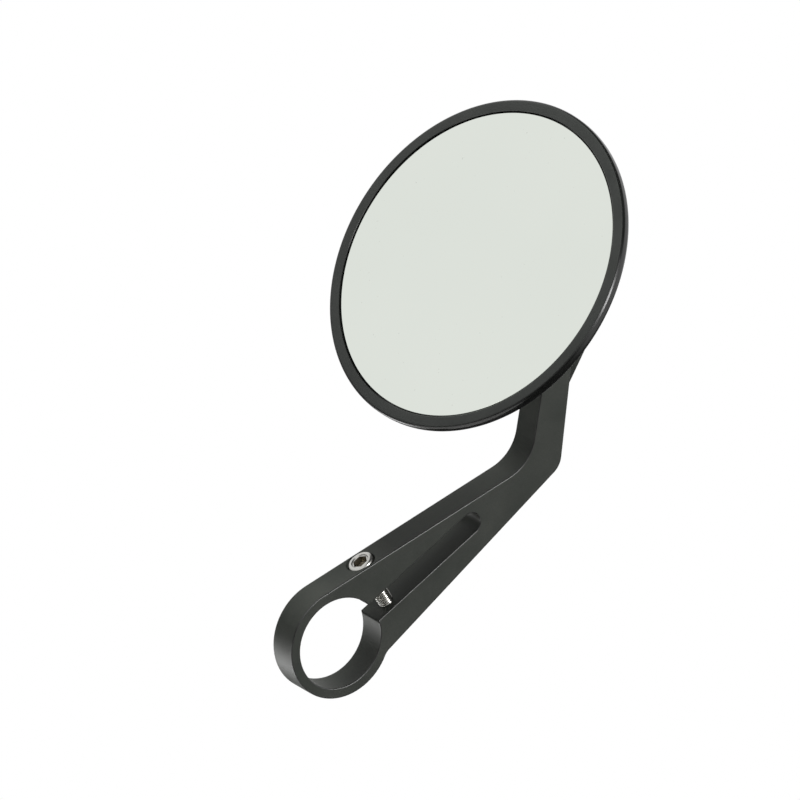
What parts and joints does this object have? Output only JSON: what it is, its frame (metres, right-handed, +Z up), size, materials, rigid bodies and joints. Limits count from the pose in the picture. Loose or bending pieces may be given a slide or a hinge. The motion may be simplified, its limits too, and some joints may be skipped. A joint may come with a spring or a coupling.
{
  "type": "motorcycle bar end mirror",
  "caption": "Round convex rear-view mirror on a ball joint, held by a flat milled aluminium arm with a slotted clamp ring for the end of a handlebar.",
  "frame": {"origin": "centre of the clamp bore, halfway through the thickness of the arm", "axes": "+X along the handlebar, out of the face of the arm that the picture shows; +Y the way of travel, away from the rider; +Z up. The mirror faces the rider, towards -Y, turned a little to +X"},
  "size_m": [0.1099, 0.0786, 0.1976],
  "materials": {
    "black_anodised": "bead blasted and anodised black, satin",
    "plain_aluminium": "turned, not anodised",
    "stainless": "bright turned stainless steel",
    "black_steel": "black oxide",
    "seat_plastic": "natural acetal, satin",
    "foam": "double sided foam tape",
    "mirror_glass": "silvered convex glass"
  },
  "bodies": {
    "arm": {"arm": "black_anodised", "clamp_screw": "stainless", "ball_stud": "stainless", "stud_set_screw": "black_steel"},
    "rear_seat": {"ball_seat_rear": "seat_plastic"},
    "front_seat": {"ball_seat_front": "seat_plastic"},
    "head": {"mirror_housing": "black_anodised", "ball_retainer": "plain_aluminium", "retainer_screws": "stainless", "glass_pad": "foam", "mirror_glass": "mirror_glass"}
  },
  "joints": [
    {"name": "head_pan", "type": "hinge", "parent": "arm", "child": "rear_seat", "pos_m": [0, -0.0148, 0.1235], "axis": [0, 0, 1], "range_deg": [-25, 4]},
    {"name": "head_tilt", "type": "hinge", "parent": "rear_seat", "child": "front_seat", "pos_m": [0, -0.0148, 0.1235], "axis": [0.9842, 0.1771, 0], "range_deg": [-15, 15]},
    {"name": "head_spin", "type": "hinge", "parent": "front_seat", "child": "head", "pos_m": [0, -0.0148, 0.1235], "axis": [0.1771, -0.9842, 0], "continuous": true}
  ]
}
